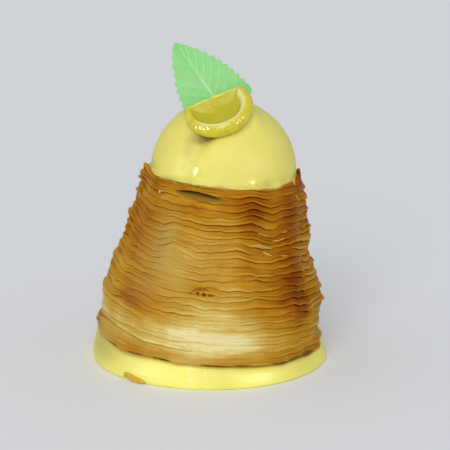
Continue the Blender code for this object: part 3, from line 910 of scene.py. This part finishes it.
def make_bits(side):
    """The bits on the pastry, each kind one piece: name, maker, table, first seed and finish."""
    kinds = (
        ("Pale_broken_lips", side_strand, PALE_CHIPS, 0, (224, 194, 108), (190, 146, 60), 0.6),
        ("Burnt_blisters", lump_on_side, BLISTERS, 0, (150, 66, 0), (104, 42, 0), 0.7),
        ("Blister_edge", side_strand, BLISTER_ARCS, 40, (178, 112, 14), (146, 78, 4), 0.5),
        ("Burnt_edge", side_strand, BURNT_EDGE, 60, (134, 84, 14), (94, 52, 4), 0.55),
        ("Sugar_specks", lump_on_side, SUGAR_SPECKS, 20, (222, 194, 150), (200, 152, 92), 0.65),
    )
    for name, maker, table, first_seed, *finish in kinds:
        solids = [maker(side, bit, seed) for seed, bit in enumerate(table, first_seed)]
        place(tubes(name, solids, flake_finish(name.lower(), *finish)), None, "baked_pastry")


def make_foot_flake():
    """A thin bit of pastry stuck low on the foot's front left."""
    turn = full_turn(FLAKE_SIDES)
    middle_degrees, half_degrees, middle_height, half_height, thick = FOOT_FLAKE
    ragged = 1.0 + 0.22 * round_noise(turn, 2.2, 3.0, 20)
    rings = []
    for shrink, lift in FOOT_FLAKE_PROFILE:
        angle = np.radians(middle_degrees + half_degrees * shrink * ragged * np.cos(turn))
        height = middle_height + half_height * shrink * ragged * np.sin(turn)
        height = np.maximum(height - 0.0005 * np.cos(turn), 0.0001)
        radius = foot_radius(angle) - 0.0001 + thick * lift
        rings.append(upright(angle, radius, height))
    finish = flake_finish("foot_flake", (218, 180, 62), (208, 160, 40), 0.45)
    place(tubes("Foot_flake", [rings], finish), None, "baked_pastry")


# The dome

def dome_offset(angle, elevation):
    """How far the glaze stands out from the sphere in a direction."""
    total = 0.0
    for degrees, up, spread, amount in DOME_HILLS:
        turn = np.radians(angle_from(angle, degrees))
        cosine = np.sin(elevation) * math.sin(math.radians(up))
        cosine = cosine + np.cos(elevation) * math.cos(math.radians(up)) * np.cos(turn)
        away = np.degrees(np.arccos(np.clip(cosine, -1.0, 1.0)))
        total = total + amount * hill(away, spread)
    return total


def glaze_edge(angle):
    """The height of the drip edge, a smooth curve through the table."""
    fine = np.linspace(-180.0, 180.0, 721)
    curve = np.interp(fine, *np.array(GLAZE_EDGE).T)
    window = np.ones(11) / 11.0
    curve = np.convolve(np.concatenate([curve[-6:-1], curve, curve[1:6]]), window, "valid")
    return np.interp(angle_from(angle, 0.0), fine, curve)


def make_dome():
    angle = full_turn(DOME_SIDES)
    edge = glaze_edge(angle) + GLAZE_WAVE * round_noise(angle, 8.0, 0.0, 8)
    centre_across, centre_height = DOME_CENTRE

    def on_dome(angle, out, height):
        return leaned(centre_across + out * np.sin(angle), -out * np.cos(angle), height)

    rings = Rings(angle, on_dome, "dull", "shade", "brown", "wet")
    # The skirt, tucked inside the bell's rim, takes painted shade and shadow.
    for out, drop in GLAZE_SKIRT:
        rings.add(out, edge - drop, dull=0.6, brown=0.3)
    first = np.arcsin((edge + 0.0001 - centre_height) / DOME_RADIUS)
    for ring in range(DOME_RINGS):
        share = ring / (DOME_RINGS - 1)
        elevation = first + (math.radians(88.8) - first) * share**1.15
        radius = DOME_RADIUS + dome_offset(angle, elevation)
        height = centre_height + radius * np.sin(elevation)
        lip = GLAZE_LIP * hill(height - edge - 0.0006, GLAZE_LIP_HALF)
        radius = radius + lip * (1.0 + 0.5 * round_noise(angle, 6.0, 0.0, 9))
        radius = radius + 0.00006 * smooth_noise(
            7.0 * np.sin(angle) * np.cos(elevation),
            7.0 * np.cos(angle) * np.cos(elevation),
            7.0 * np.sin(elevation),
            10,
        )
        up = np.degrees(elevation)
        # Near the drip edge the glaze takes painted shade, and a little painted shadow where it
        # meets the pastry.
        low = hill(height - edge, 0.0012)
        rings.add(
            radius * np.cos(elevation),
            centre_height + radius * np.sin(elevation),
            dull=0.5 * low,
            shade=covered(angle, up, GLAZE_SHADES),
            brown=covered(angle, up, GLAZE_BROWN_SHADOWS) + 0.12 * low,
            wet=covered(angle, up, GLAZE_WETS),
        )
    finish = glaze_finish("dome_glaze", (240, 230, 112), (221, 211, 98))
    piece = ring_solid("Lemon_glaze_dome", rings.points, rings.marks, finish)
    place(piece, "dome", "dome_glaze")


# The foot

def foot_radius(angle):
    narrower = FOOT_NARROWER * np.cos(angle) ** 2
    return FOOT_RADIUS - narrower + FOOT_UNEVEN * np.sin(3.0 * angle)


def foot_top(across):
    return SHELL_BASE[2] - GAP - (across - SHELL_BASE[0]) * math.tan(LEAN)


def upright(angle, out, height):
    """Points round the foot's upright axis."""
    return np.stack([out * np.sin(angle), -out * np.cos(angle), height], axis=-1)


def make_foot():
    angle = full_turn(FOOT_SIDES)
    rings = Rings(angle, upright, "dull", "shade", "pale", "wet")
    for share in np.concatenate([np.linspace(0.0, 0.9, 40), np.linspace(0.905, 1.0, 24)]):
        inside = np.interp(share, *np.array(FOOT_PROFILE).T)
        body = math.sin(math.pi * share)
        radius = foot_radius(angle) - inside - 0.00012 * body
        radius = radius + 0.00022 * body * round_noise(angle, 4.0, share * 1.5, 11)
        wave = 0.0003 * share * round_noise(angle, 2.8, 0.0, 12)
        shaded_low_left = hill_at(angle, *FOOT_SHADED_LEFT) * hill(share - 0.75, 0.5)
        streak = 0.0
        for degrees, drift, amount in FOOT_STREAKS:
            degrees += drift * (1.0 - share)
            streak = streak + amount * hill_at(angle, degrees, FOOT_STREAK_HALF)
        glossy = sum(amount * hill_at(angle, *where) for *where, amount in FOOT_GLOSS)
        # Painted shade on the low left, a little on the right, and along the top next to the bell.
        rings.add(
            radius,
            share * foot_top(radius * np.sin(angle)) + wave,
            dull=0.95 * shaded_low_left + 0.08 * hill_at(angle, 60.0, 30.0),
            shade=0.35 * shaded_low_left + 0.25 * hill(share - 1.0, 0.08),
            pale=0.65 * streak * hill(share - 0.42, 0.33),
            wet=0.15 + 0.85 * clamp(glossy) * hill(share - 0.98, 0.12),
        )
    for inward, lift in FOOT_TOP:
        radius = foot_radius(angle) - inward
        height = foot_top(radius * np.sin(angle)) + wave + lift
        # The top, next to the bell, takes painted shade.
        rings.add(radius, height, dull=0.4, shade=0.3, wet=0.6)
    finish = glaze_finish("foot_glaze", (254, 246, 122), (212, 202, 92))
    piece = ring_solid("Lemon_glaze_foot", rings.points, rings.marks, finish)
    place(piece, "foot", "foot_glaze")


# The slice

def slice_outline():
    """The half-round outline, counter-clockwise: the arc, then the straight cut edge."""
    arc = math.pi + 2.0 * SLICE_PAST_HALF
    turn = math.pi - SLICE_PAST_HALF + arc * np.linspace(0.0, 1.0, SLICE_ARC_POINTS)
    round_part = np.stack([SLICE_RADIUS * np.cos(turn), SLICE_RADIUS * np.sin(turn)], axis=-1)
    share = np.linspace(0.0, 1.0, SLICE_CHORD_POINTS)[1:-1, None]
    cut = round_part[-1] + (round_part[0] - round_part[-1]) * share
    cut[:, 1] += 0.0003 * np.sin(math.pi * share[:, 0])
    return np.concatenate([round_part, cut])


def softened(values, times):
    """A closed row of values, each moved towards its neighbours."""
    for _ in range(times):
        values = 0.5 * values + 0.25 * (np.roll(values, 1, 0) + np.roll(values, -1, 0))
    return values


def make_slice():
    facing = unit(SLICE_FACING)
    along = unit(SLICE_CHORD - facing * (SLICE_CHORD @ facing))
    upward = np.cross(facing, along)
    outline = softened(slice_outline(), 3)
    middle_y = outline[:, 1].mean()
    off_arc = np.zeros(SLICE_CHORD_POINTS - 2)
    is_cut = softened(np.concatenate([np.zeros(SLICE_ARC_POINTS), off_arc + 1.0]), 24)
    along_arc = np.concatenate([np.linspace(0.0, 1.0, SLICE_ARC_POINTS), off_arc])
    pith_share = clamp((along_arc - 0.17) / 0.12)
    outward = outline - outline.mean(axis=0)
    outward = outward / np.linalg.norm(outward, axis=1)[:, None]
    turn = np.arctan2(outline[:, 1] - 0.002, outline[:, 0])
    spoke = np.abs(((turn * 9.0 / (2.0 * math.pi)) % 1.0) - 0.5)
    rings, pulp, pith, membrane = [], [], [], []
    profile = np.array(SLICE_PROFILE)
    cut_profile = np.array(SLICE_CUT_PROFILE)
    steps = np.arange(len(profile))
    low_rim = SLICE_LOW_RIM * hill(along_arc - 0.42, 0.25) - SLICE_END_RIM * hill(along_arc, 0.14)
    low_rim = low_rim + SLICE_RIGHT_RIM * hill(along_arc - 0.85, 0.22)
    pith_rank = 12.6 - 1.0 * hill(along_arc - 0.42, 0.22)
    for rank in np.linspace(0, len(profile) - 1, 3 * len(profile)):
        scale, depth = [np.interp(rank, steps, column) for column in profile.T]
        scale = scale - low_rim * clamp((rank - 7.0) / 4.0)
        cut_scale, cut_depth = [np.interp(rank, steps, column) for column in cut_profile.T]
        scale = scale + (cut_scale - scale) * is_cut
        depth = depth + (cut_depth - depth) * is_cut
        x = outline[:, 0] * scale
        y = middle_y + (outline[:, 1] - middle_y) * scale
        inside = 1.0 if rank > SLICE_INSIDE_FROM else 0.0
        rib = inside * hill(spoke, 0.09) * clamp((scale - 0.15) / 0.4)
        fine = 0.00008 * smooth_noise(x * 900.0, y * 900.0, rank * 0.4, 13)
        behind = depth * SLICE_THICKNESS - 0.00003 * rib + fine
        flat = np.outer(x, along) + np.outer(y, upward)
        points = SLICE_CENTRE + flat - np.outer(behind, facing)
        ridge = (1.0 - inside) * 0.00007 * np.sin(turn * 40.0) * hill(depth - 0.45, 0.3)
        points = points + np.outer(ridge * outward[:, 0], along)
        points = points + np.outer(ridge * outward[:, 1], upward)
        rings.append(points)
        pulp.append(inside + 0.0 * x)
        pale = clamp(2.2 * hill(rank - pith_rank - 0.5, 1.6))
        pith.append(pale * (1.0 - is_cut) * pith_share + 0.45 * is_cut * hill(rank - 10.5, 1.2))
        membrane.append(0.12 * rib)
    marks = {"pulp": pulp, "pith": pith, "membrane": membrane}
    piece = ring_solid("Candied_lemon_slice", rings, marks, candied_finish())
    place(piece, "lemon_slice", "candied_lemon")


# The leaf

def leaf_half_width(share):
    foot = LEAF_HALF_WIDTH * np.sqrt(clamp(1.0 - (share / LEAF_FOOT_SHARE) ** 2))
    blade = LEAF_HALF_WIDTH * (1.0 - clamp(share) ** 1.9) ** 0.85
    return np.where(share < 0.0, foot, blade)


def make_leaf():
    facing = unit(LEAF_FACING)
    level = unit(np.cross((0.0, 0.0, 1.0), facing))
    axis = np.cross(facing, level) * math.cos(LEAF_SWING) - level * math.sin(LEAF_SWING)
    side = np.cross(axis, facing)
    across = np.linspace(-1.0, 1.0, LEAF_COLUMNS + 1)[None, :]
    base = -LEAF_FOOT_SHARE * np.sqrt(1.0 - (0.92 * across) ** 2)
    up = np.linspace(0.0, 1.0, LEAF_ROWS + 1)[:, None]
    share = base + (LEAF_TIP_SHARE - base) * up
    width = leaf_half_width(share)
    tooth = (share * LEAF_TEETH + 0.3) % 1.0
    saw = np.where(tooth < 0.8, (tooth / 0.8) ** 0.8, (1.0 - tooth) / 0.2)
    near_margin = clamp((np.abs(across) - 0.86) / 0.14)
    width = width - LEAF_TOOTH * (1.0 - saw) * near_margin * clamp(6.0 * up)
    width = np.maximum(width, LEAF_TIP_HALF_WIDTH * clamp(4.0 * (1.0 - up) + 0.6))
    shake = 0.15 * smooth_noise(share * 4.0, across * 2.0, 0.0, 14)
    run = LEAF_VEINS * share - LEAF_VEIN_SLANT * np.abs(across) ** 0.85 + shake
    towards_tip = clamp((1.0 - share) * 6.0)
    vein = clamp(np.cos(2.0 * math.pi * run)) ** 2
    vein = vein * clamp(1.15 - np.abs(across)) * towards_tip
    rib = hill(across * width, 0.00024 + 0.00022 * (1.0 - share)) * towards_tip
    bow = LEAF_WAVE * np.sin(3.4 * share + 2.1 * across) + LEAF_CURL * across**2
    bow = bow - 0.0003 * hill(across, 0.07) + 0.00011 * vein + 0.00012 * rib
    flat = LEAF_BASE + (share * LEAF_LENGTH)[..., None] * axis + (across * width)[..., None] * side
    bow = bow * clamp(2.5 * width / LEAF_HALF_WIDTH)
    middle = flat + bow[..., None] * facing
    thick = LEAF_THICKNESS / 2.0 * np.clip(1.15 - 0.6 * np.abs(across) ** 4, 0.3, 1.0)
    off = thick[..., None] * facing
    points = np.concatenate([middle + off, middle - off]).reshape(-1, 3)
    count = share.size
    grid = np.arange(count).reshape(share.shape)
    corners = [grid[:-1, :-1], grid[:-1, 1:], grid[1:, 1:], grid[1:, :-1]]
    sheet = np.stack(corners, -1).reshape(-1, 4)
    faces = sheet.tolist() + (sheet[:, ::-1] + count).tolist()
    border = np.concatenate([grid[0, :-1], grid[:-1, -1], grid[-1, :0:-1], grid[:0:-1, 0]])
    for start, end in zip(border, np.roll(border, -1)):
        faces.append((int(end), int(start), int(start + count), int(end + count)))
    deep = clamp(0.55 * hill(share + 0.02, 0.13))
    right_side = np.where(across > 0.0, 1.0, 0.4)
    rib_tone = rib * (0.2 + 0.8 * hill(share - 0.25, 0.28))
    veins = clamp(0.9 * rib_tone + 0.30 * vein * right_side)
    spot = 0.8 * hill(share - 0.64, 0.018) * hill(across + 0.60, 0.15)
    marks = {"vein": veins, "deep": deep, "spot": spot}
    both_faces = {mark: np.tile(values.ravel(), 2) for mark, values in marks.items()}
    piece = object_from("Leaf_blade", points, faces, both_faces, leaf_finish())
    place(piece, "leaf", "leaf_green")


# The surroundings

def make_floor():
    signs = ((-1, -1), (1, -1), (1, 1), (-1, 1))
    corners = [(x * FLOOR_HALF, y * FLOOR_HALF, 0.0) for x, y in signs]
    look = Finish("floor")
    tone = look.spread(look.noise(1.2, 1.0), 0.3, 0.7)
    look.give("Base Color", look.mix(tone, srgb(240, 242, 246), srgb(244, 246, 249)))
    look.give("Roughness", 0.85)
    floor = object_from("Floor", corners, [(0, 1, 2, 3)], {}, look.material)


def gloss_light(name, place_at, size, power, spread):
    """A panel that shows only as a highlight in what is glossy."""
    light = bpy.data.lights.new(name, "AREA")
    light.shape = "RECTANGLE"
    light.spread = math.radians(spread)
    light.size, light.size_y = size
    light.energy = power
    x, y, z = np.array(PANEL_TARGET) - np.array(place_at)
    turn = (math.atan2(math.hypot(x, y), -z), 0.0, math.atan2(-x, y))
    stand(name, light, place_at, turn).visible_diffuse = False


def make_light():
    light = bpy.data.lights.new("Key", "SUN")
    light.energy = SUN_STRENGTH
    light.angle = math.radians(SUN_SOFTNESS)
    turn = (math.radians(90.0 - SUN_HEIGHT), 0.0, math.radians(SUN_TURN))
    stand("Key", light, turn=turn)
    for panel in PANELS:
        gloss_light(*panel)
    world = bpy.data.worlds.new("Studio")
    world.use_nodes = True
    background = world.node_tree.nodes["Background"]
    background.inputs["Color"].default_value = SKY_COLOUR
    background.inputs["Strength"].default_value = SKY_STRENGTH
    bpy.context.scene.world = world
    bpy.context.scene.view_settings.view_transform = "Standard"


def make_camera():
    camera = bpy.data.cameras.new("Camera")
    camera.lens = CAMERA_LENS
    turn = (math.pi / 2.0 - CAMERA_PITCH, 0.0, 0.0)
    bpy.context.scene.camera = stand("Camera", camera, CAMERA_PLACE, turn)


make_camera()
make_floor()
make_light()
make_foot()
shell_side = make_shell()
make_bits(shell_side)
make_foot_flake()
make_dome()
make_slice()
make_leaf()
